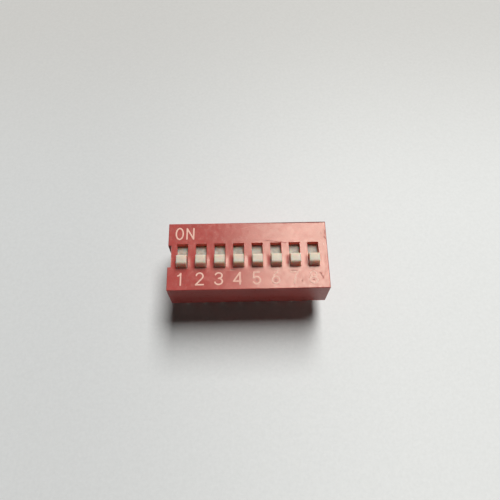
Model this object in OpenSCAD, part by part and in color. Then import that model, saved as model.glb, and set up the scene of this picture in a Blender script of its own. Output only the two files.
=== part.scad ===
// Slide-type DIP switch for through-hole boards, with raised levers.
// Millimetres. +Z is up, X runs along the row of switches and +Y is the ON side.
// The origin is the centre of the pin pattern, on the face that seats on the board.
// The switches are drawn OFF, with every lever towards -Y, and "on" moves the levers.

/* [Package] */
// Number of switches in the row
positions = 8; // [2:1:12]
// Distance between neighbouring switches, and between neighbouring pins
pitch = 2.54; // [2.4:0.01:4]
// Distance between the two rows of pins
row_spacing = 7.62; // [7.3:0.01:12]
// How far the cover reaches past the last half pitch
end_margin = 0.7; // [0.55:0.01:2]
// Height of the feet that keep the body off the board
stand_off = 0.2; // [0.1:0.05:0.6]
// Share of the travel that the levers are moved, from OFF to ON
on = 0; // [0:0.1:1]

/* [Cover] */
// Thickness of the cover over the switches
cover_top = 0.8; // [0.7:0.05:1.6]
// Thickness of the two long walls
cover_wall = 0.75; // [0.5:0.05:1.2]
// Radius of the outer edges of the cover
edge_radius = 0.1; // [0.05:0.01:0.3]
// Thickness of the ribs between the switches
rib_thickness = 0.4; // [0.3:0.05:0.6]
// Width of the notch in the end beside switch 1
notch_width = 3.2; // [1.5:0.1:3.6]
// Depth of that notch
notch_depth = 0.45; // [0.2:0.05:0.5]
// Bevel round the mouth of each slot
slot_bevel = 0.03; // [0.02:0.01:0.12]

/* [Slider] */
// How far a lever travels between OFF and ON
travel = 1.7; // [1.4:0.05:2.1]
// Width of a lever
lever_width = 1.4; // [1:0.05:1.5]
// Length of a lever where it leaves the cover
lever_length = 1.78; // [1.6:0.01:2.1]
// Length of a lever at its top
lever_top_length = 1.2; // [1:0.05:1.5]
// Height of a lever above the cover
lever_height = 1.05; // [0.6:0.05:2]
// Radius of the two edges across the top of a lever
lever_radius = 0.3; // [0.25:0.01:0.4]
// Radius of the two edges along the top of a lever
lever_side_radius = 0.1; // [0.05:0.01:0.2]
// Height of the slider's block inside the cover
slider_height = 2.85; // [2.6:0.05:3.6]
// Depth of the pocket under the slider that holds its contact
pocket_depth = 1.3; // [1.1:0.05:1.5]

/* [Contact] */
// Thickness of the contact's spring strip
contact_thickness = 0.12; // [0.08:0.01:0.16]
// Width of the contact
contact_width = 1.1; // [0.8:0.05:1.15]
// Width of the slit that splits each leg of the contact in two
contact_slit = 0.16; // [0.1:0.02:0.3]
// Slope of the contact's legs
contact_slope = 50; // [42:1:62]

/* [Terminal] */
// Thickness of the terminals' strip
terminal_thickness = 0.25; // [0.2:0.01:0.3]
// Width of a terminal inside the body
terminal_width = 1.2; // [1:0.05:1.3]
// Width of a pin
pin_width = 0.5; // [0.4:0.05:0.7]
// Length of a pin below the board's face
pin_length = 3.3; // [2.5:0.1:4]
// Gap on the deck between the two terminals of a switch
contact_gap = 0.8; // [0.6:0.05:1]

/* [Base] */
// Thickness of the base plate
base_thickness = 1.6; // [1.4:0.05:2.2]
// Gap between the base and the cover round it
base_fit = 0.05; // [0.03:0.01:0.1]
// How far the snap lugs stand out of the base's ends
lug_depth = 0.2; // [0.1:0.05:0.25]

/* [Hidden] */
$fn = 64;

red = "#b23a32";
cream = "#dccfb2";
gilt = "#d9b25c";

over = 0.5;             // how far a cut runs past the face it opens
running_gap = 0.05;     // between a slider and the cover's ceiling
side_gap = 0.07;        // between a slider and the ribs beside it
skirt_gap = 0.1;        // between a slider's skirts and the deck
lever_gap = 0.04;       // between a lever and the long sides of its slot
stop_gap = 0.03;        // between a lever and the end of its slot, at each limit
end_gap = 0.1;          // least gap between a slider and a long wall
shelf_lap = 0.3;        // how far a slider still reaches under the cover at its limits

// Terminals: a strip lies in the deck, and turns down at its outer end to become the pin.
pad_proud = 0.05;       // how far the strip stands above the deck
bend_radius = 0.15;     // inside the bend above the pin
tail_radius = 0.1;      // inside the bend at the hidden inner end
tail_length = 0.4;      // straight part of the tail that anchors the inner end
shoulder_drop = 0.2;    // how far above the seat the wide part of a pin ends
shoulder_slope = 0.25;  // height over which it narrows
tip_length = 0.35;      // tapered end of a pin
tip_width = 0.25;
wall_gap = 0.195;       // between a pin's outer face and the cover
groove_gap = 0.02;      // round a pin in its groove in the base

// Contacts: a bridge of spring strip with a crown, sloping legs and curled feet.
crown_half = 0.3;       // half the flat crown
crown_radius = 0.25;    // inside the bends beside the crown
foot_radius = 0.3;      // inside the curl of a foot
foot_rise = 35;         // slope of the strip past the foot
toe_length = 0.3;       // straight end past the foot
foot_gap = 0.03;        // running gap under the feet
pocket_gap = 0.1;       // round a contact in its pocket
pocket_wall = 0.5;      // least wall at the ends of a pocket

// Levels, from the board up.
base_z = stand_off;
deck_z = base_z + base_thickness;
pad_z = deck_z + pad_proud;
slider_z = deck_z + skirt_gap;
shelf_z = slider_z + slider_height;
ceiling_z = shelf_z + running_gap;
top_z = ceiling_z + cover_top;
lever_z = top_z + lever_height;

// Contact, worked out along the middle of its strip.
contact_height = pocket_depth + slider_z - pad_z - foot_gap;
crown_bend = crown_radius + contact_thickness / 2;
foot_bend = foot_radius + contact_thickness / 2;
leg_length = (contact_height - contact_thickness - (crown_bend + foot_bend) * (1 - cos(contact_slope)))
             / sin(contact_slope);
foot_y = crown_half + (crown_bend + foot_bend) * sin(contact_slope) + leg_length * cos(contact_slope);
contact_half = foot_y + (foot_bend + contact_thickness / 2) * sin(foot_rise) + toe_length * cos(foot_rise);
pocket_half = contact_half + pocket_gap;

// Slider and slot, along Y.
slot_width = lever_width + 2 * lever_gap;
slot_half = (lever_length + travel) / 2 + stop_gap;
slider_half = max(slot_half + travel / 2 + shelf_lap, pocket_half + pocket_wall);
slider_width = pitch - rib_thickness - 2 * side_gap;

// Cavity of the cover, and the cover round it.
pin_out = (row_spacing + terminal_thickness) / 2;
cavity_x = (positions * pitch - rib_thickness) / 2;
cavity_y = max(pin_out + wall_gap, slider_half + travel / 2 + end_gap);
body_length = positions * pitch + 2 * end_margin;
body_width = 2 * (cavity_y + cover_wall);

// Terminals of one switch: the long one serves both feet at OFF, the short one is met at ON.
long_end = foot_y - contact_gap / 2;
short_end = foot_y + contact_gap / 2;
bend_start = pin_out - terminal_thickness - bend_radius;

// Detent: a nib on each rib stands in a dimple in the slider's side at each limit.
nib_radius = 0.15;
nib_height = 0.05;
dimple_radius = 0.2;
dimple_depth = 0.05;

function switch_x(i) = (i - (positions + 1) / 2) * pitch;

// ---------------------------------------------------------------- shared forms

// Convex outline with its corners rounded, each by its own radius.
module rounded_outline(points, radii) {
    n = len(points);
    function to(a, b) = (b - a) / norm(b - a);
    function half(i) = acos(to(points[i], points[(i + n - 1) % n]) * to(points[i], points[(i + 1) % n])) / 2;
    function cut(i) = radii[i] / tan(half(i));
    polygon([for (i = [0:n - 1]) for (j = [i + n - 1, i + 1])
             points[i] + cut(i) * to(points[i], points[j % n])]);
    for (i = [0:n - 1])
        if (radii[i] > 0)
            translate(points[i] + radii[i] / sin(half(i))
                      * to(points[i], (points[i] + to(points[i], points[(i + n - 1) % n])
                                       + to(points[i], points[(i + 1) % n]))))
                circle(radii[i]);
}

// Outline drawn in Y-Z, run along X for a width w.
module along_x(w) rotate([90, 0, 90]) translate([0, 0, -w / 2]) linear_extrude(w) children();

// Outline drawn in X-Z, run along Y for a length l.
module along_y(l) rotate([90, 0, 0]) translate([0, 0, -l / 2]) linear_extrude(l) children();

// Trapezium of two widths between heights z0 and z1, its upper corners rounded.
module taper(w0, w1, z0, z1, r)
    rounded_outline([[-w0 / 2, z0], [w0 / 2, z0], [w1 / 2, z1], [-w1 / 2, z1]], [0, 0, r, r]);

// Box centred on Z that reaches from z0 to z1.
module block(x, y, z0, z1) translate([-x / 2, -y / 2, z0]) cube([x, y, z1 - z0]);

// Strip of sheet metal running along +Y with its upper face at Z 0. Each step is
// [straight length, bend angle, inside radius]: a positive bend turns down, a negative one up.
// Children are drawn at the end of the last step.
module strip(w, t, steps, i = 0) {
    if (i == len(steps)) children();
    else {
        run = steps[i][0];
        bend = steps[i][1];
        r = steps[i][2];
        if (run > 0) translate([-w / 2, 0, -t]) cube([w, run, t]);
        translate([0, run, 0]) {
            if (bend > 0) {
                translate([0, 0, -t - r]) rotate([0, -90, 0]) rotate_extrude(angle = bend)
                    translate([r, -w / 2]) square([t, w]);
                translate([0, (r + t) * sin(bend), (r + t) * (cos(bend) - 1)]) rotate([-bend, 0, 0])
                    strip(w, t, steps, i + 1) children();
            } else if (bend < 0) {
                translate([0, 0, r]) rotate([0, 90, 0]) rotate_extrude(angle = -bend)
                    translate([r, -w / 2]) square([t, w]);
                translate([0, r * sin(-bend), r * (1 - cos(bend))]) rotate([-bend, 0, 0])
                    strip(w, t, steps, i + 1) children();
            } else strip(w, t, steps, i + 1) children();
        }
    }
}

// ---------------------------------------------------------------------- cover

// Solid outer form, with rounded top and upright edges and a square lower rim.
module cover_blank() intersection() {
    linear_extrude(top_z)
        rounded_outline([[-body_length / 2, -body_width / 2], [body_length / 2, -body_width / 2],
                         [body_length / 2, body_width / 2], [-body_length / 2, body_width / 2]],
                        [for (i = [1:4]) edge_radius]);
    along_x(body_length) taper(body_width, body_width, base_z, top_z, edge_radius);
    along_y(body_width) taper(body_length, body_length, base_z, top_z, edge_radius);
}

// Slot for one lever, with a bevelled mouth.
module lever_slot() {
    block(slot_width, 2 * slot_half, ceiling_z - over, top_z + over);
    intersection() {
        along_x(slot_width + 4 * slot_bevel)
            polygon([[-slot_half, top_z - slot_bevel], [slot_half, top_z - slot_bevel],
                     [slot_half + 2 * slot_bevel, top_z + slot_bevel],
                     [-slot_half - 2 * slot_bevel, top_z + slot_bevel]]);
        along_y(2 * slot_half + 4 * slot_bevel)
            polygon([[-slot_width / 2, top_z - slot_bevel], [slot_width / 2, top_z - slot_bevel],
                     [slot_width / 2 + 2 * slot_bevel, top_z + slot_bevel],
                     [-slot_width / 2 - 2 * slot_bevel, top_z + slot_bevel]]);
    }
}

// Ridge down the side of a rib, the fixed half of a switch's detent.
module nib() translate([0, 0, slider_z]) cylinder(r = nib_radius, h = ceiling_z + over / 2 - slider_z);

module ribs() {
    for (i = [1:positions - 1])
        translate([(i - positions / 2) * pitch, 0, 0]) {
            block(rib_thickness, 2 * cavity_y + cover_wall, slider_z - running_gap, ceiling_z + over / 2);
            for (side = [-1, 1]) translate([side * (rib_thickness / 2 + nib_height - nib_radius), 0, 0]) nib();
        }
    for (side = [-1, 1]) translate([side * (cavity_x - nib_height + nib_radius), 0, 0]) nib();
}

// Snap lug on an end of the base, pointing along +X from the plane x = 0. The same form,
// grown by a gap, is the pocket in the cover.
lug_width = 1.2;
lug_y = 2.6;
lug_z = base_z + 0.3;
lug_height = 0.5;
lug_land = 0.15;
module lug(grow = 0)
    along_y(lug_width + 2 * grow)
        polygon([[-over, lug_z - grow], [lug_depth + grow, lug_z - grow],
                 [lug_depth + grow, lug_z + lug_land + grow],
                 [0, lug_z + lug_height + grow], [-over, lug_z + lug_height + grow]]);

module lugs(x, grow = 0)
    for (side = [-1, 1], y = [-lug_y, lug_y])
        translate([side * x, y, 0]) rotate([0, 0, side > 0 ? 0 : 180]) lug(grow);

module cover() color(red) difference() {
    union() {
        difference() {
            cover_blank();
            block(2 * cavity_x, 2 * cavity_y, base_z - over, ceiling_z);
        }
        ribs();
    }
    for (i = [1:positions]) translate([switch_x(i), 0, 0]) lever_slot();
    translate([-body_length / 2, 0, 0])
        block(2 * notch_depth, notch_width, base_z - over, top_z + over);
    lugs(cavity_x - base_fit, base_fit);
}

// ----------------------------------------------------------------------- base

rail_width = 1.6;       // rail along the middle of the underside, which seats on the board
rail_share = 0.75;      // share of the base's length that it takes up
foot_length = 1.2;      // feet at the corners
foot_width = 0.9;
base_x = cavity_x - base_fit;
base_y = cavity_y - base_fit;

// Seat of one terminal, drawn for the row at +Y: the strip's own form in the deck, and an
// open groove down the side for the bend and the pin.
module terminal_seat(end_y) {
    terminal(end_y);
    groove = terminal_width + 2 * groove_gap;
    translate([-groove / 2, bend_start, pad_z - terminal_thickness - bend_radius])
        cube([groove, base_y, base_thickness]);
    translate([-groove / 2, pin_out - terminal_thickness - groove_gap, base_z - over])
        cube([groove, base_y, base_thickness + 2 * over]);
}

module base() color(red) difference() {
    union() {
        block(2 * base_x, 2 * base_y, base_z, deck_z);
        block(rail_share * 2 * base_x, rail_width, 0, base_z);
        for (x = [-1, 1], y = [-1, 1])
            translate([x * (base_x - foot_length / 2), y * lug_y, 0])
                block(foot_length, foot_width, 0, base_z);
        lugs(base_x);
    }
    for (i = [1:positions]) translate([switch_x(i), 0, 0]) {
        terminal_seat(short_end);
        rotate([0, 0, 180]) terminal_seat(-long_end);
    }
}

// ------------------------------------------------------------------- terminals

// Pin: the strip below its bend, which narrows at a shoulder and ends in a blunt point.
module pin_blade() {
    wide = terminal_width / 2;
    thin = pin_width / 2;
    tip = tip_width / 2;
    start = pad_z - terminal_thickness - bend_radius;
    shoulder = start - shoulder_drop - shoulder_slope;
    neck = start - shoulder_drop;
    end = start + pin_length;
    translate([0, 0, -terminal_thickness]) linear_extrude(terminal_thickness)
        polygon([[-wide, 0], [wide, 0], [wide, shoulder], [thin, neck], [thin, end - tip_length],
                 [tip, end], [-tip, end], [-thin, end - tip_length], [-thin, neck], [-wide, shoulder]]);
}

// Terminal of the row at +Y, whose strip starts at end_y: a buried tail, the contact strip in
// the deck, the bend at the edge of the base, and the pin.
module terminal(end_y) {
    turn = tail_radius + terminal_thickness;
    translate([0, end_y, pad_z - turn - tail_length]) rotate([90, 0, 0])
        strip(terminal_width, terminal_thickness,
              [[tail_length, 90, tail_radius], [bend_start - end_y - turn, 90, bend_radius]])
            pin_blade();
}

// Terminals are numbered as the pins of a DIP are: along the -Y row from the left, then back
// along the +Y row.
module numbered_terminal(n) color(gilt)
    if (n <= positions) translate([switch_x(n), 0, 0]) rotate([0, 0, 180]) terminal(-long_end);
    else translate([switch_x(2 * positions + 1 - n), 0, 0]) terminal(short_end);

// -------------------------------------------------------- sliders and contacts

function slider_y() = (on - 0.5) * travel;

// Lever: upright where it runs in its slot, and sloping in to its top at both ends.
module lever() intersection() {
    foot = lever_length / 2;
    tip = lever_top_length / 2;
    along_x(lever_width)
        rounded_outline([[-foot, shelf_z - over], [foot, shelf_z - over], [foot, top_z], [tip, lever_z],
                         [-tip, lever_z], [-foot, top_z]], [0, 0, 0, lever_radius, lever_radius, 0]);
    along_y(lever_length + 2 * over)
        taper(lever_width, lever_width, shelf_z - over, lever_z, lever_side_radius);
}

// Moulded slider: a block that fills its compartment, open below for the contact, with the
// lever on top.
module slider() color(cream) difference() {
    union() {
        block(slider_width, 2 * slider_half, slider_z, shelf_z);
        lever();
    }
    block(contact_width + 2 * pocket_gap, 2 * pocket_half, slider_z - over, slider_z + pocket_depth);
    for (x = [-1, 1], y = [-1, 1])
        translate([x * (slider_width / 2 + dimple_radius - dimple_depth), y * travel / 2, slider_z - over])
            cylinder(r = dimple_radius, h = slider_height + 2 * over);
}

// Bridging contact: crown, then on each side two prongs that slope to the deck and curl up.
module contact() color(gilt) translate([0, 0, slider_z + pocket_depth]) {
    prong = (contact_width - contact_slit) / 2;
    block(contact_width, 2 * crown_half, -contact_thickness, 0);
    for (side = [0, 180], x = [-1, 1])
        rotate([0, 0, side]) translate([x * (contact_slit + prong) / 2, crown_half, 0])
            strip(prong, contact_thickness,
                  [[0, contact_slope, crown_radius],
                   [leg_length, -contact_slope - foot_rise, foot_radius],
                   [toe_length, 0, 0]]);
}

module in_switch(i) translate([switch_x(i), slider_y(), 0]) children();

cover();
base();
for (i = [1:positions]) {
    in_switch(i) slider();
    in_switch(i) contact();
}
for (n = [1:2 * positions])
    numbered_terminal(n);
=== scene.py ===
import math

import bmesh
import bpy
from mathutils import Matrix, Vector


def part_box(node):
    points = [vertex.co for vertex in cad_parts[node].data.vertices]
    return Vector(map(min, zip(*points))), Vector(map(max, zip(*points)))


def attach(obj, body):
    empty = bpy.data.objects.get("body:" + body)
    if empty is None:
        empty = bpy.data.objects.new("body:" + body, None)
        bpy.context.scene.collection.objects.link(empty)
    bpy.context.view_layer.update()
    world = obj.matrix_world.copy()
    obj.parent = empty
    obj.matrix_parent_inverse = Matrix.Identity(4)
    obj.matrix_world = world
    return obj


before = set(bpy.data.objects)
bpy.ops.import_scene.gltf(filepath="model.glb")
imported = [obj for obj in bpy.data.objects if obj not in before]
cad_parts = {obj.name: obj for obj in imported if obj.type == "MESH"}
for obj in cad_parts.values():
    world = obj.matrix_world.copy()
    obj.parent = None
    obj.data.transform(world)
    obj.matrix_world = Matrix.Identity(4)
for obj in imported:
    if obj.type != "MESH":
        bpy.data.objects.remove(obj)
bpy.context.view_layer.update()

# ---------------------------------------------------------------------------
# Bench: the switch stands on its pins on a sheet of plain pale paper.
# The paper is painted a little darker to the left and towards the back, as painted shade where the
# lamp's light falls off.
# Seen from below it is left out, so that the underside shows.

MM = 0.001


def node(tree, kind, inputs=None, **settings):
    """Adds a shader node: its settings by name, and its inputs as values or sockets to link."""
    made = tree.nodes.new("ShaderNode" + kind)
    for name, value in settings.items():
        setattr(made, name, value)
    for name, value in (inputs or {}).items():
        if isinstance(value, bpy.types.NodeSocket):
            tree.links.new(value, made.inputs[name])
        else:
            made.inputs[name].default_value = value
    return made


def math_node(tree, operation, first, second=0.0, third=0.0):
    """One Math node's result. Each operand is a number or a socket."""
    made = node(tree, "Math", {0: first, 1: second, 2: third}, operation=operation)
    return made.outputs["Value"]


def times(tree, first, second):
    """The product of two values."""
    return math_node(tree, "MULTIPLY", first, second)


def times_plus(tree, first, second, added):
    """The product of two values, with a third added."""
    return math_node(tree, "MULTIPLY_ADD", first, second, added)


def stretch(tree, place, scale):
    """Coordinates multiplied along each axis."""
    return node(tree, "Mapping", {"Vector": place, "Scale": scale}).outputs["Vector"]


def spread(tree, value, low, high, to_low=0.0, to_high=1.0, smooth=False):
    """Maps a value from one range to another, clamped at both ends."""
    made = node(tree, "MapRange", {
        "Value": value, "From Min": low, "From Max": high, "To Min": to_low, "To Max": to_high,
    }, interpolation_type="SMOOTHSTEP" if smooth else "LINEAR", clamp=True)
    return made.outputs["Result"]


def blend(tree, share, first, second):
    """Mixes two colours by a share from 0 to 1."""
    # The node has sockets for each type of value, and these are the colours'.
    colour_a, colour_b, colour_mixed = 6, 7, 2
    made = node(tree, "Mix", {0: share}, data_type="RGBA")
    for socket, value in ((colour_a, first), (colour_b, second)):
        if isinstance(value, bpy.types.NodeSocket):
            tree.links.new(value, made.inputs[socket])
        else:
            made.inputs[socket].default_value = value
    return made.outputs[colour_mixed]


def noise(tree, place, scale, detail, roughness=0.5):
    """A cloudy pattern from 0 to 1, with so many features to the millimetre."""
    inputs = {"Vector": place, "Scale": scale, "Detail": detail, "Roughness": roughness}
    return node(tree, "TexNoise", inputs).outputs["Fac"]


def bumps(tree, height, depth, strength=1.0):
    """The surface's direction where a pattern raises it by up to a depth."""
    inputs = {"Height": height, "Distance": depth, "Strength": strength}
    return node(tree, "Bump", inputs).outputs["Normal"]


def new_material(name):
    """An empty node material with its tree, and the piece's own coordinates in millimetres."""
    material = bpy.data.materials.new(name)
    material.use_nodes = True
    tree = material.node_tree
    tree.nodes.clear()
    place = node(tree, "TexCoord").outputs["Object"]
    return material, tree, stretch(tree, place, (1 / MM, 1 / MM, 1 / MM))


def principled(tree, inputs):
    """A surface that is one Principled shader."""
    return node(tree, "BsdfPrincipled", inputs).outputs["BSDF"]


def finish_material(tree, surface):
    """Links the finished surface to the material's output."""
    node(tree, "OutputMaterial", {"Surface": surface})


# A pattern has its features to the millimetre, its detail, and its roughness unless that is 0.5.
# Most of a cloudy pattern's values lie in this range.
clouds = (0.3, 0.7)

paper_radius = 1.0
paper_left, paper_right, paper_sides = (0.68, 0.69, 0.68, 1), (0.83, 0.84, 0.82, 1), (-30, 26)
paper_back, back_range, back_share = (0.60, 0.59, 0.56, 1), (8, 60), 0.75
fibre_pattern, fibre_tone = (2.2, 5, 0.75), 0.035
tooth_pattern, tooth_depth, tooth_strength = (6, 4, 0.6), 0.01 * MM, 0.6

pin_tip = min(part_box(f"terminal_{i}")[0].z for i in range(1, 17))
sheet = bmesh.new()
bmesh.ops.create_circle(sheet, cap_ends=True, segments=96, radius=paper_radius)
bmesh.ops.translate(sheet, verts=sheet.verts, vec=(0, 0, pin_tip))
paper_mesh = bpy.data.meshes.new("paper")
sheet.to_mesh(paper_mesh)
sheet.free()
paper = bpy.data.objects.new("paper", paper_mesh)
bpy.context.scene.collection.objects.link(paper)

material, tree, place = new_material("bench_paper")
x, y, z = node(tree, "SeparateXYZ", {"Vector": place}).outputs
# Painted shade: the paper's tone falls off to the left and towards the back.
to_right = spread(tree, x, *paper_sides, smooth=True)
to_back = spread(tree, y, *back_range, 0, back_share, smooth=True)
tone = blend(tree, to_right, paper_left, paper_right)
tone = blend(tree, to_back, tone, paper_back)
fibres = spread(tree, noise(tree, place, *fibre_pattern), *clouds, -1, 1)
tone = node(tree, "HueSaturation", {
    "Color": tone, "Value": times_plus(tree, fibres, fibre_tone, 1.0),
}).outputs["Color"]
surface = principled(tree, {
    "Base Color": tone,
    "Roughness": 0.85,
    "Specular IOR Level": 0.2,
    "Normal": bumps(tree, noise(tree, place, *tooth_pattern), tooth_depth, tooth_strength),
})
from_below = node(tree, "NewGeometry").outputs["Backfacing"]
looked_at = node(tree, "LightPath").outputs["Is Camera Ray"]
left_out = times(tree, from_below, looked_at)
clear = node(tree, "BsdfTransparent").outputs["BSDF"]
surface = node(tree, "MixShader", {0: left_out, 1: surface, 2: clear}).outputs["Shader"]
finish_material(tree, surface)
paper.data.materials.append(material)

# ---------------------------------------------------------------------------
# Light: one large soft source, behind, above and to the right, in a dim pale room.
# Its left edge is what ends the sheen half-way along the top of the cover.

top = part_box("cover")[1].z
lamp_height = 2.0
# The lamp's edges to the sides and the back, as shares of its height above the cover.
lamp_left, lamp_right = 0.026, 0.45
lamp_near, lamp_far = 0.18, 1.165
lamp_power = 78.8
dim_room = (0.028, 0.026, 0.024, 1)
pale_room = (0.70, 0.70, 0.69, 1)
mirrored_share = 0.3

lamp_data = bpy.data.lights.new("soft_source", "AREA")
lamp_data.shape = "RECTANGLE"
lamp_data.size = (lamp_right - lamp_left) * lamp_height
lamp_data.size_y = (lamp_far - lamp_near) * lamp_height
lamp_data.energy = lamp_power
lamp = bpy.data.objects.new("soft_source", lamp_data)
lamp.location = (
    (lamp_left + lamp_right) / 2 * lamp_height,
    (lamp_near + lamp_far) / 2 * lamp_height,
    top + lamp_height,
)
bpy.context.scene.collection.objects.link(lamp)

world = bpy.data.worlds.new("room")
world.use_nodes = True
tree = world.node_tree
tree.nodes.clear()
path = node(tree, "LightPath").outputs
mirrored = times(tree, path["Is Glossy Ray"], mirrored_share)
seen = math_node(tree, "MAXIMUM", path["Is Camera Ray"], mirrored)
seen = math_node(tree, "MAXIMUM", seen, path["Is Transmission Ray"])
glow = node(tree, "Background", {"Color": blend(tree, seen, dim_room, pale_room)})
node(tree, "OutputWorld", {"Surface": glow.outputs["Background"]})
bpy.context.scene.world = world
bpy.context.scene.view_settings.view_transform = "Standard"

# ---------------------------------------------------------------------------
# Camera: looks down over the number side, a hand's breadth above the cover.

camera_place = Vector((-0.668, -25.965, 66.965)) * MM
camera_look = Vector((0.0143, 0.3988, -0.9169))
camera_up = Vector((0.018, 0.9168, 0.399))

camera_data = bpy.data.cameras.new("camera")
camera_data.lens = 35.42
camera_data.sensor_width = 36.0
camera_data.clip_start, camera_data.clip_end = 0.005, 5.0
camera = bpy.data.objects.new("camera", camera_data)
back = -camera_look.normalized()
side = camera_up.cross(back).normalized()
turned = Matrix((side, back.cross(side), back)).transposed().to_4x4()
camera.matrix_world = Matrix.Translation(camera_place) @ turned
bpy.context.scene.collection.objects.link(camera)
bpy.context.scene.camera = camera

# ---------------------------------------------------------------------------
# Terminals: sixteen stamped strips of brass, their pins dipped in tin.
# They stand in the base in two rows, and the dipped tin is slightly wavy.


def dress(names, material):
    """Gives the switch's own pieces their finish."""
    for name in names:
        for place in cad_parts[name].material_slots:
            place.material = material


tin_bright, tin_dull = (0.80, 0.79, 0.77, 1), (0.58, 0.57, 0.55, 1)
tin_runs = (1, 1, 0.35)
bloom_pattern, bloom_range = (2.2, 5, 0.6), (0.35, 0.7)
tin_gloss = (0.22, 0.42)
wave_pattern, wave_depth, wave_strength = (4, 3), 0.012 * MM, 0.7

material, tree, place = new_material("dipped_tin")
runs = stretch(tree, place, tin_runs)
bloom = noise(tree, runs, *bloom_pattern)
finish_material(tree, principled(tree, {
    "Base Color": blend(tree, spread(tree, bloom, *bloom_range), tin_bright, tin_dull),
    "Metallic": 1.0,
    "Roughness": spread(tree, bloom, *clouds, *tin_gloss),
    "Normal": bumps(tree, noise(tree, runs, *wave_pattern), wave_depth, wave_strength),
}))
dress([f"terminal_{i}" for i in range(1, 17)], material)

# ---------------------------------------------------------------------------
# Contacts: eight bent springs of gilt phosphor bronze, one under each slider.
# They are rolled strip, so fine lines run along them.

gilt_bright, gilt_dull = (0.94, 0.72, 0.38, 1), (0.78, 0.54, 0.26, 1)
tarnish_pattern, tarnish_range = (2, 4), (0.35, 0.7)
rolling = (9, 0.6, 0.6)
line_pattern, line_depth, line_strength = (3, 3, 0.6), 0.003 * MM, 0.6
gilt_gloss = (0.2, 0.38)

material, tree, place = new_material("gilt_bronze")
lines = noise(tree, stretch(tree, place, rolling), *line_pattern)
tarnish = spread(tree, noise(tree, place, *tarnish_pattern), *tarnish_range)
finish_material(tree, principled(tree, {
    "Base Color": blend(tree, tarnish, gilt_bright, gilt_dull),
    "Metallic": 1.0,
    "Roughness": spread(tree, lines, *clouds, *gilt_gloss),
    "Normal": bumps(tree, lines, line_depth, line_strength),
}))
dress([f"contact_{i}" for i in range(1, 9)], material)

# ---------------------------------------------------------------------------
# Sliders: eight levers with their carriers, moulded in one piece in cream nylon.
# Fingers leave a little grime on the levers, most of it on the first ones.
# Grey dust lies in patches on the shelf behind each lever, and painted shade darkens the shelf
# most at the lever's foot.

cream, cream_warm, cream_pattern = (0.74, 0.64, 0.51, 1), (0.69, 0.59, 0.47, 1), (0.9, 3)
# This dark colour paints both the grime and dust and the painted shade at each lever's foot.
grime_and_shade = (0.17, 0.15, 0.12, 1)
glow_depth = 1.8 * MM
clear_clouds = (0.35, 0.65)

# Where dust, grime and painted shade lie, in millimetres, and how much of each.
pitch = (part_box("slider_2")[0].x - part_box("slider_1")[0].x) / MM
shelf = top / MM - 0.85
shelf_band_from, shelf_band_to = shelf + 0.02, shelf + 0.6
patch_pattern, patch_range, patch_share = (2.4, 4, 0.6), (0.42, 0.62), 0.20
settled_sides, settled_shares = (-2, 9), (0.37, 0.27)
foot_x, foot_y = 0.05, 0.50
foot_range, foot_share, foot_fringe = (0.15, 0.60), 0.16, 0.15
finger_sides, finger_share, finger_patches = (-10, 2), 0.10, 0.07
fleck_pattern, fleck_range, fleck_share = (9, 3, 0.7), (0.60, 0.68), 0.18

skin_pattern, skin_share, swell_pattern = (16, 3, 0.6), 0.3, (2.0, 2)
skin_depth, skin_strength = 0.01 * MM, 0.8
cream_gloss = (0.42, 0.56)


def along_row(tree, x, first_line):
    """How far x lies from the nearest of a row of lines at the switches' pitch."""
    from_line = math_node(tree, "ADD", x, -first_line)
    return math_node(tree, "WRAP", from_line, pitch / 2, -pitch / 2)


material, tree, place = new_material("cream_nylon")
x, y, z = node(tree, "SeparateXYZ", {"Vector": place}).outputs
body = spread(tree, noise(tree, place, *cream_pattern), *clear_clouds)
body = blend(tree, body, cream, cream_warm)
patches = spread(tree, noise(tree, place, *patch_pattern), *patch_range, smooth=True)

on_shelf = spread(tree, z, shelf_band_from, shelf_band_to, 1.0, 0.0, smooth=True)
settled = spread(tree, x, *settled_sides, *settled_shares)
settled = times_plus(tree, patches, patch_share, settled)
from_foot = node(tree, "CombineXYZ", {
    "X": math_node(tree, "ADD", along_row(tree, x, pitch / 2), -foot_x),
    "Y": math_node(tree, "ADD", y, -foot_y),
}).outputs["Vector"]
from_foot = node(tree, "VectorMath", {0: from_foot}, operation="LENGTH").outputs["Value"]
from_foot = times_plus(tree, patches, -foot_fringe, from_foot)
# Painted shade: the shelf darkens towards the lever's foot, with a patchy fringe.
shade_at_foot = spread(tree, from_foot, *foot_range, foot_share, 0, smooth=True)
fingered = spread(tree, x, *finger_sides, finger_share, 0.0)
fingered = times_plus(tree, patches, finger_patches, fingered)
flecks = spread(tree, noise(tree, place, *fleck_pattern), *fleck_range)
dust_and_shade = math_node(tree, "ADD", times(tree, on_shelf, settled), times(tree, on_shelf, shade_at_foot))
dust_and_shade = math_node(tree, "MAXIMUM", dust_and_shade, fingered)
dust_and_shade = math_node(tree, "MAXIMUM", dust_and_shade, times(tree, flecks, fleck_share))

skin = noise(tree, place, *skin_pattern)
height = times_plus(tree, skin, skin_share, noise(tree, place, *swell_pattern))
finish_material(tree, principled(tree, {
    "Base Color": blend(tree, dust_and_shade, body, grime_and_shade),
    "Roughness": spread(tree, skin, *clouds, *cream_gloss),
    "IOR": 1.5,
    "Specular IOR Level": 0.35,
    "Subsurface Weight": 1.0,
    "Subsurface Radius": (1.0, 0.38, 0.25),
    "Subsurface Scale": glow_depth,
    "Normal": bumps(tree, height, skin_depth, skin_strength),
}))
dress([f"slider_{i}" for i in range(1, 9)], material)

# ---------------------------------------------------------------------------
# Base: a plate of the same red thermoplastic as the cover, with a matt moulded skin.
# The terminals are moulded into it, and its four lugs snap into the cover's ends.

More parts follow.
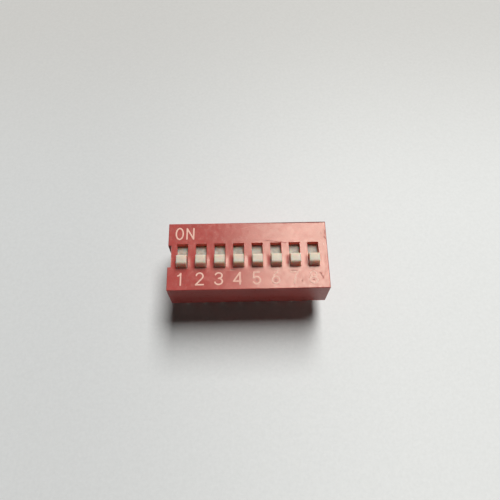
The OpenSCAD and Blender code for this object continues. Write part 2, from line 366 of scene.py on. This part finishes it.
red, red_deep = (0.375, 0.048, 0.041, 1), (0.315, 0.039, 0.033, 1)
red_glow = 0.4 * MM
flow_stretch, red_pattern = (0.5, 1, 1), (0.35, 4, 0.55)
spark_pattern, spark_height = (9, 4, 0.6), 0.006
matt_pattern, matt_gloss, matt_reflectance = (1.1, 3), (0.36, 0.50), 0.3


def moulded_red(name, finish):
    """The red plastic. Finish gives its colour, roughness, reflectance, and height in mm."""
    material, tree, place = new_material(name)
    flow = stretch(tree, place, flow_stretch)
    body = spread(tree, noise(tree, flow, *red_pattern), *clear_clouds)
    body = blend(tree, body, red, red_deep)
    colour, roughness, reflectance, height = finish(tree, place, body)
    finish_material(tree, principled(tree, {
        "Base Color": colour,
        "Roughness": roughness,
        "IOR": 1.5,
        "Specular IOR Level": reflectance,
        "Specular Tint": (1.0, 0.91, 0.74, 1),
        "Subsurface Weight": 0.4,
        "Subsurface Radius": (1.0, 0.2, 0.16),
        "Subsurface Scale": red_glow,
        "Normal": bumps(tree, height, MM),
    }))
    return material


def matt_skin(tree, place, body):
    """A fine spark-eroded texture, as on faces that nobody sees."""
    grain = noise(tree, place, *spark_pattern)
    roughness = spread(tree, noise(tree, place, *matt_pattern), *clouds, *matt_gloss)
    return body, roughness, matt_reflectance, times(tree, grain, spark_height)


dress(["base"], moulded_red("red_base", matt_skin))

# ---------------------------------------------------------------------------
# Cover: one red moulding, glossy on top and duller on its walls, which has sunk over its ribs.
# Handling has scratched it. The top is painted lighter than the walls as a haze of reflected
# light, the slots' walls are painted with light, and painted shade darkens the walls' foot, the
# slots' front lips and the back edge.

# Scratches and rubs on the top, and a few marks of painted shade and highlight: the two ends and
# the half width of each, in millimetres.
dark_marks_and_shade = (
    ((9.40, -2.72), (9.72, -2.83), 0.035), ((9.67, -2.76), (9.98, -3.55), 0.04),
    ((10.45, 2.66), (10.80, 2.14), 0.04), ((10.08, 3.12), (10.24, 3.06), 0.06),
    ((-2.35, -2.10), (-1.75, -2.14), 0.09), ((1.99, 2.19), (5.80, 1.66), 0.026),
    ((5.80, 1.66), (6.90, 1.63), 0.025), ((10.55, 3.72), (10.70, 2.95), 0.025),
    ((3.32, -3.96), (3.63, -3.81), 0.05), ((7.07, -3.73), (7.25, -3.92), 0.045),
    # The four marks on this line and the next, inside the loops of 5, 6 and 8 and above the 7's
    # bar, are painted shade at the ink's dark rim in the sheen.
    ((0.98, -3.58), (1.18, -3.68), 0.09), ((3.52, -3.60), (3.72, -3.66), 0.08),
    ((8.60, -3.68), (8.80, -3.74), 0.08), ((5.66, -2.40), (6.56, -2.38), 0.045),
)
pale_marks_and_highlight = (
    ((-2.99, -2.15), (-2.05, -2.21), 0.025), ((-1.0, 3.94), (2.0, 4.64), 0.018),
    # The second mark on this line, along the notch's inner edge, is a painted highlight.
    ((10.41, 1.20), (10.41, 1.60), 0.03), ((-10.41, -1.55), (-10.38, 1.50), 0.05),
)
mark_wobble, wobble_scale, wobble_detail = 0.12, 1.6, 3.0
gap_pattern, gap_range, gap_share = (4, 3, 0.7), (0.34, 0.52), 0.55
mark_core, mark_rim = 0.5, 1.5
mark_taper, tip_share = 0.14, 0.3
scratch_depth, scratch_and_shade_share, rub_and_highlight_share = 0.012, 0.8, 0.35

# Painted light: the top is painted lighter and a less deep red than the walls, as a haze of
# reflected light.
hazed_top, hazed_top_deep = (0.50, 0.090, 0.080, 1), (0.42, 0.068, 0.060, 1)
# Painted light: the slots' walls are painted a bright red, as if lit through.
painted_slot_light = (0.80, 0.17, 0.13, 1)
# The dark colour paints both dirt and scratches and the painted shade; the pale one paints both
# chips and rubs and a painted highlight.
dirt_and_shade, worn_and_highlight = (0.16, 0.035, 0.03, 1), (0.80, 0.46, 0.40, 1)
top_range = (top / MM - 0.09, top / MM - 0.01)
slots_x, slots_y = (10.0, 10.3), (2.4, 2.8)

# Relief: heights and the sink marks' places in millimetres.
grain_pattern, grain_height = (14, 4, 0.6), 0.001
ripple_pattern, ripple_height = (0.55, 3, 0.55), 0.018
mottle_pattern, mottle_height = (3.2, 5, 0.7), 0.0045
sink_depth, sink_reach, sink_y, sink_ends = 0.028, 0.60, -0.85, (0.3, 1.15)

# Colour: streaks and mottling in the plastic, dirt, painted shade and light, and small chips and
# dots.
streak_pattern = (0.4, 4, 0.6)
mottle_range, mottle_share = (0.38, 0.62), 0.6
# Painted shade: the walls darken towards their foot.
wall_shade_z, wall_shade_share, wall_shade_fringe = (0.4, 3.0), 0.34, 1.2
# Painted shadow: a dark strip along the front lip of each slot.
lip_y, lip_width, lip_length = -1.87, (0.05, 0.14), (0.66, 0.82)
lip_row, lip_share, lip_fringe = (10.1, 10.3), 0.55, 0.06
# Painted shade: a dark line along the back edge, with its reflection lowered.
brink_x, brink_y, brink_share = (-4.0, 6.0), (4.67, 4.73), 0.95
brink_z = (top / MM - 0.2, top / MM - 0.1)
chip_pattern, chip_range, chip_share = (7, 3, 0.8), (0.66, 0.72), 0.5
dot_pattern, dot_range, dot_share = (4, 3, 0.85), (0.65, 0.70), 0.6

# Gloss: roughness and reflectance.
wall_gloss, top_gloss = (0.26, 0.34), (0.14, 0.20)
smear_pattern, smear_range, smear_dulling = (1.5, 6, 0.8), (0.46, 0.66), 0.16
mark_dulling = 0.3
wall_reflectance, top_reflectance = 0.28, 0.43


def vector_node(tree, operation, inputs, output="Vector"):
    """One Vector Math node's result."""
    return node(tree, "VectorMath", inputs, operation=operation).outputs[output]


def marks_mask(tree, place, marks):
    """Where marks lie on the top. They wander, have gaps, and taper towards their ends."""
    wander = node(tree, "TexNoise", {
        "Vector": place, "Scale": wobble_scale, "Detail": wobble_detail,
    }).outputs["Color"]
    wander = vector_node(tree, "MULTIPLY_ADD", {
        0: wander, 1: (mark_wobble, mark_wobble, 0), 2: (-mark_wobble / 2, -mark_wobble / 2, 0),
    })
    place = vector_node(tree, "ADD", {0: place, 1: wander})
    patchy = spread(tree, noise(tree, place, *gap_pattern), *gap_range, gap_share, 1)
    mask = 0.0
    for start, end, half_width in marks:
        along = Vector((end[0] - start[0], end[1] - start[1], 0))
        per_length = along / along.length_squared
        offset = vector_node(tree, "SUBTRACT", {0: place, 1: (*start, top / MM)})
        reach = vector_node(tree, "DOT_PRODUCT", {0: offset, 1: per_length}, "Value")
        share = spread(tree, reach, 0, 1)
        nearest = vector_node(tree, "SCALE", {0: along, "Scale": share})
        gap = vector_node(tree, "DISTANCE", {0: offset, 1: nearest}, "Value")
        line = spread(tree, gap, half_width * mark_core, half_width * mark_rim, 1, 0)
        inside = times(tree, share, math_node(tree, "SUBTRACT", 1.0, share))
        line = times(tree, line, spread(tree, inside, 0, mark_taper, tip_share, 1))
        mask = math_node(tree, "MAXIMUM", mask, line)
    return times(tree, mask, patchy)


def size_of(tree, value):
    """A value without its sign."""
    return math_node(tree, "ABSOLUTE", value)


def gloss_and_painted_light(tree, place, body):
    """The glossy top, sunk, rippled and scratched and painted lighter as a haze of reflected
    light, and the duller walls, with painted light in the slots and painted shade at the walls'
    foot, the slots' lips and the back edge.
    """
    x, y, z = node(tree, "SeparateXYZ", {"Vector": place}).outputs
    off_x, off_y = size_of(tree, x), size_of(tree, y)
    on_top = spread(tree, z, *top_range)
    flow = stretch(tree, place, flow_stretch)
    grain = noise(tree, place, *grain_pattern)
    mottle = noise(tree, place, *mottle_pattern)
    scratches_and_shade = marks_mask(tree, place, dark_marks_and_shade)
    rubs_and_highlight = marks_mask(tree, place, pale_marks_and_highlight)

    from_rib = size_of(tree, along_row(tree, x, 0.0))
    along_rib = size_of(tree, math_node(tree, "ADD", y, -sink_y))
    sink = spread(tree, from_rib, 0, sink_reach, 1, 0, smooth=True)
    sink = times(tree, sink, spread(tree, along_rib, *sink_ends, 1, 0, smooth=True))
    height = times(tree, noise(tree, flow, *ripple_pattern), ripple_height)
    height = times_plus(tree, grain, grain_height, height)
    height = times_plus(tree, mottle, mottle_height, height)
    height = times_plus(tree, sink, -sink_depth, height)
    height = times(tree, height, on_top)
    height = times_plus(tree, scratches_and_shade, -scratch_depth, height)

    streaks = spread(tree, noise(tree, flow, *streak_pattern), *clear_clouds)
    mottled = spread(tree, mottle, *mottle_range, 0.0, mottle_share)
    # Painted light: the top's lighter haze.
    top_haze = blend(tree, streaks, hazed_top, hazed_top_deep)
    top_haze = blend(tree, mottled, top_haze, hazed_top_deep)
    # Painted shade towards the foot of the walls.
    low = times_plus(tree, mottle, wall_shade_fringe, z)
    low = spread(tree, low, *wall_shade_z, wall_shade_share, 0, smooth=True)
    # Painted light inside the slots.
    in_slots = spread(tree, off_y, *slots_y, 1, 0)
    in_slots = times(tree, in_slots, spread(tree, off_x, *slots_x, 1, 0))
    walls = blend(tree, in_slots, blend(tree, low, body, dirt_and_shade), painted_slot_light)
    colour = blend(tree, on_top, walls, top_haze)

    # Painted shadow along each slot's front lip.
    from_middle = size_of(tree, along_row(tree, x, pitch / 2))
    from_lip = size_of(tree, math_node(tree, "ADD", y, -lip_y))
    from_lip = times_plus(tree, mottle, lip_fringe, from_lip)
    lip = spread(tree, from_middle, *lip_length, 1, 0)
    lip = times(tree, lip, spread(tree, from_lip, *lip_width, 1, 0))
    lip = times(tree, lip, spread(tree, off_x, *lip_row, lip_share, 0))
    # Painted shade along the back edge.
    brink = spread(tree, x, *brink_x, 0.0, brink_share)
    brink = times(tree, spread(tree, y, *brink_y), brink)
    brink = times(tree, brink, spread(tree, z, *brink_z))
    chips = spread(tree, noise(tree, place, *chip_pattern), *chip_range, 0.0, chip_share)
    dots = spread(tree, noise(tree, place, *dot_pattern), *dot_range, 0.0, dot_share)
    # Dark dots, and the painted shadow at the slots' lips.
    dots_and_shade = times(tree, math_node(tree, "MAXIMUM", dots, lip), on_top)
    colour = blend(tree, chips, colour, worn_and_highlight)
    colour = blend(tree, dots_and_shade, colour, dirt_and_shade)
    # Dark marks: scratches, and painted shade in the digits' loops and above the 7.
    colour = blend(tree, times(tree, scratches_and_shade, scratch_and_shade_share), colour, dirt_and_shade)
    # Pale marks: rubs, and a painted highlight along the notch's edge.
    colour = blend(tree, times(tree, rubs_and_highlight, rub_and_highlight_share), colour, worn_and_highlight)
    colour = blend(tree, brink, colour, dirt_and_shade)

    smears = spread(tree, noise(tree, place, *smear_pattern), *smear_range)
    marked = math_node(tree, "MAXIMUM", scratches_and_shade, lip)
    gloss = spread(tree, grain, *clouds, *top_gloss)
    gloss = times_plus(tree, smears, smear_dulling, gloss)
    gloss = times_plus(tree, marked, mark_dulling, gloss)
    satin = spread(tree, mottle, *clouds, *wall_gloss)
    roughness = spread(tree, on_top, 0, 1, satin, gloss)
    reflectance = spread(tree, on_top, 0, 1, wall_reflectance, top_reflectance)
    # The painted shade along the back edge also dims the reflection there.
    reflectance = times(tree, reflectance, math_node(tree, "SUBTRACT", 1.0, brink))
    return colour, roughness, reflectance, height


dress(["cover"], moulded_red("red_cover", gloss_and_painted_light))

# ---------------------------------------------------------------------------
# Print: ON at the back left and the numbers 1 to 8 in front of the levers.
# It is hot-stamped cream ink, one to two hundredths of a millimetre thick with soft edges.

# Sizes in millimetres. Each slope has how far it runs in and its share of the ink's rise.
# Where strokes of a character cross, each further one lies lower by a share of the height.
ink_width = 0.21
ink_height = 0.014
ink_rim = 0.003
ink_slopes = ((0.030, 0.60), (0.035, 0.40))
crossing_drop = 0.1
cap_steps = (90, 60, 30)
mitre_limit = 2.0
merge_distance = 1e-5
# The numbers' row, and how far they stand to the left of their levers.
number_row = -3.325
number_shift = -0.195


def arc(centre, radius, start, end, steps=14):
    """Points along an ellipse's arc, in degrees anticlockwise from the right."""
    turns = [math.radians(start + (end - start) * i / steps) for i in range(steps + 1)]
    return [
        (centre[0] + radius[0] * math.cos(t), centre[1] + radius[1] * math.sin(t)) for t in turns
    ]


def round_end(here, across, outward):
    """Stations round the end of a stroke, from its tip inwards."""
    turns = [math.radians(angle) for angle in cap_steps]
    return [(here + outward * math.sin(t) * ink_width / 2, across * math.cos(t)) for t in turns]


def of_kind(geometry, kind):
    """The vertices, the edges or the faces among an operator's results."""
    return [item for item in geometry if isinstance(item, kind)]


def lay_stroke(bm, points, height, closed):
    """Rolls one stroke of ink along its middle line, with round ends and rounded upper edges."""
    path = [Vector((*p, 0)) for p in points]
    last = len(path) - 1
    stations, headings = [], []
    for i, here in enumerate(path):
        before = path[i - 1] if i or closed else here
        after = path[(i + 1) % len(path)] if i < last or closed else here
        coming = (here - before if here != before else after - here).normalized()
        going = (after - here).normalized() if here != after else coming
        along = (coming + going).normalized()
        mitre = 1 / max(along.dot(coming), 1 / mitre_limit)
        stations.append((here, Vector((-along.y, along.x, 0)) * mitre))
        headings.append(along)
    if closed:
        stations.append(stations[0])
    else:
        start = round_end(*stations[0], -headings[0])
        finish = round_end(*stations[-1], headings[-1])
        stations = start + stations + finish[::-1]

    half = ink_width / 2
    sides = [(here + across * half, here - across * half) for here, across in stations]
    pair = [bm.verts.new(corner) for corner in sides[0]]
    edge = bm.edges.new(pair)
    flat = []
    for left, right in sides[1:]:
        made = bmesh.ops.extrude_edge_only(bm, edges=[edge])["geom"]
        flat += of_kind(made, bmesh.types.BMFace)
        ends = of_kind(made, bmesh.types.BMVert)
        edge = next(e for e in of_kind(made, bmesh.types.BMEdge) if set(e.verts) == set(ends))
        # The one that an edge ties to the left side comes first.
        ends.sort(key=lambda v: not any(pair[0] in e.verts for e in v.link_edges))
        ends[0].co, ends[1].co = left, right
        pair = ends
    verts = list({v for f in flat for v in f.verts})
    bmesh.ops.remove_doubles(bm, verts=verts, dist=merge_distance)
    flat = [f for f in flat if f.is_valid]
    for face in flat:
        face.normal_update()
    bmesh.ops.reverse_faces(bm, faces=[f for f in flat if f.normal.z < 0])

    raised = bmesh.ops.extrude_face_region(bm, geom=flat)["geom"]
    bmesh.ops.translate(bm, verts=of_kind(raised, bmesh.types.BMVert), vec=(0, 0, ink_rim))
    crown = of_kind(raised, bmesh.types.BMFace)
    for inset, share in ink_slopes:
        slope = bmesh.ops.inset_region(
            bm, faces=crown, thickness=inset, depth=(height - ink_rim) * share,
            use_boundary=True, use_even_offset=True,
        )["faces"]
        for face in slope + crown:
            face.smooth = True


# Each character's strokes, as points in millimetres from its middle. O and 8 close on themselves.
glyphs = {
    "O": [arc((0, 0), (0.475, 0.83), 0, 346, 25)],
    "N": [
        [(-0.47, -0.79), (-0.45, 0.79)],
        [(-0.45, 0.79), (0.44, -0.79)],
        [(0.44, -0.79), (0.46, 0.79)],
    ],
    "1": [
        [(-0.30, 0.47), (-0.08, 0.58), (0.06, 0.80)],
        [(0.07, 0.81), (0.065, -0.83)],
    ],
    "2": [
        arc((0.05, 0.38), (0.45, 0.45), 165, -40) + [(-0.46, -0.82)],
        [(-0.46, -0.82), (0.55, -0.82)],
    ],
    "3": [
        arc((0.04, 0.42), (0.45, 0.39), 160, -90),
        arc((0.03, -0.40), (0.50, 0.43), 90, -165),
    ],
    "4": [
        [(0.44, -0.42), (-0.52, -0.42)],
        [(-0.52, -0.42), (0.33, 0.81)],
        [(0.33, 0.81), (0.33, -0.82)],
    ],
    "5": [
        [(0.40, 0.81), (-0.34, 0.81)],
        [(-0.34, 0.81), (-0.43, 0.04)],
        arc((0.0, -0.32), (0.49, 0.50), 138, -150),
    ],
    "6": [
        [(0.26, 0.81), (0.02, 0.60), (-0.22, 0.33)] + arc((0.03, -0.32), (0.49, 0.50), 150, 360),
        arc((0.03, -0.32), (0.49, 0.50), 0, 140),
    ],
    "7": [
        [(-0.50, 0.81), (0.50, 0.81)],
        [(0.50, 0.81), (0.16, 0.28), (-0.08, -0.82)],
    ],
    "8": [
        arc((0, 0.43), (0.41, 0.39), -90, 256, 25),
        arc((0, -0.39), (0.49, 0.43), -270, 76, 25),
    ],
}
looped = ("O", "8")


def add_piece(name, bm, material):
    """Makes a finished shape a piece that moves with the housing."""
    bmesh.ops.recalc_face_normals(bm, faces=bm.faces)
    mesh = bpy.data.meshes.new(name)
    bm.to_mesh(mesh)
    bm.free()
    mesh.materials.append(material)
    piece = bpy.data.objects.new(name, mesh)
    bpy.context.scene.collection.objects.link(piece)
    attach(piece, "housing")
    return piece


def stamp(name, marks, material):
    """Prints characters on the cover's top as one piece. Each has its place in millimetres."""
    bm = bmesh.new()
    for mark, (mark_x, mark_y) in marks:
        for i, stroke in enumerate(glyphs[mark]):
            points = [(mark_x + u, mark_y + v) for u, v in stroke]
            lay_stroke(bm, points, ink_height * (1 - crossing_drop * i), mark in looped)
    bmesh.ops.scale(bm, verts=bm.verts, vec=(MM, MM, MM))
    bmesh.ops.translate(bm, verts=bm.verts, vec=(0, 0, top))
    piece = add_piece(name, bm, material)


ink, ink_thin = (0.84, 0.52, 0.42, 1), (0.70, 0.34, 0.27, 1)
wear_pattern, wear_range = (5, 4, 0.65), (0.45, 0.75)
ink_gloss = (0.32, 0.44)
ink_pattern, ink_depth, ink_strength = (12, 3), 0.004 * MM, 0.6

material, tree, place = new_material("cream_ink")
wear = noise(tree, place, *wear_pattern)
finish_material(tree, principled(tree, {
    "Base Color": blend(tree, spread(tree, wear, *wear_range), ink, ink_thin),
    "Roughness": spread(tree, wear, *clouds, *ink_gloss),
    "IOR": 1.5,
    "Specular IOR Level": 0.29,
    "Specular Tint": (1.0, 0.92, 0.80, 1),
    "Normal": bumps(tree, noise(tree, place, *ink_pattern), ink_depth, ink_strength),
}))
stamp("print_on", [("O", (-9.34, 3.32)), ("N", (-7.87, 3.31))], material)
stamp("print_numbers", [
    (str(i + 1), ((i - 3.5) * pitch + number_shift, number_row)) for i in range(8)
], material)

# ---------------------------------------------------------------------------
# Moulding marks: four witness rings of the ejector pins on the base's underside,
# and on the cover's end away from the notch the stub where its gate was broken off.

ring_radius, ring_width, ring_height = 0.75 * MM, 0.05 * MM, 0.02 * MM
ring_profile = (
    (-ring_width, 0), (-ring_width / 2, ring_height),
    (ring_width / 2, ring_height), (ring_width, 0),
)
ring_places = [(x * MM, y * MM) for x in (-5.08, 5.08) for y in (-2.1, 2.1)]
ring_steps = 48
level_from = 0.9
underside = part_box("cover")[0].z

rings = bmesh.new()
for x, y in ring_places:
    profile = [
        rings.verts.new((x + ring_radius + out, y, underside - down)) for out, down in ring_profile
    ]
    edges = [rings.edges.new(pair) for pair in zip(profile, profile[1:] + profile[:1])]
    bmesh.ops.spin(
        rings, geom=profile + edges, cent=(x, y, 0), axis=(0, 0, 1), angle=math.tau,
        steps=ring_steps, use_merge=True,
    )
for face in rings.faces:
    face.smooth = abs(face.normal.z) < level_from
piece = add_piece("ejector_rings", rings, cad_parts["base"].active_material)

stub_width, stub_tall, stub_length = 0.9 * MM, 0.35 * MM, 0.06 * MM
stub_height = 1.5 * MM
stub_faces = (14, 6)
stub_taper = (0.92, 0.86)
tear_height = 0.025 * MM
tear_along, tear_across, tear_skew = 17.0 / MM, 23.0 / MM, 5.0 / MM
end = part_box("cover")[1].x

stub = bmesh.new()
bmesh.ops.create_grid(stub, x_segments=stub_faces[0], y_segments=stub_faces[1], size=0.5)
bmesh.ops.scale(stub, verts=stub.verts, vec=(stub_width, stub_tall, 1))
crown = bmesh.ops.extrude_face_region(stub, geom=stub.faces[:])["geom"]
for vert in of_kind(crown, bmesh.types.BMVert):
    u, v = vert.co.xy
    torn = math.sin(u * tear_along) * math.cos(v * tear_across + u * tear_skew)
    vert.co = (u * stub_taper[0], v * stub_taper[1], stub_length + torn * tear_height)
onto_end = Matrix(((0, 0, 1, end), (1, 0, 0, 0), (0, 1, 0, stub_height), (0, 0, 0, 1)))
bmesh.ops.transform(stub, verts=stub.verts, matrix=onto_end)
piece = add_piece("gate_stub", stub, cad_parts["cover"].active_material)
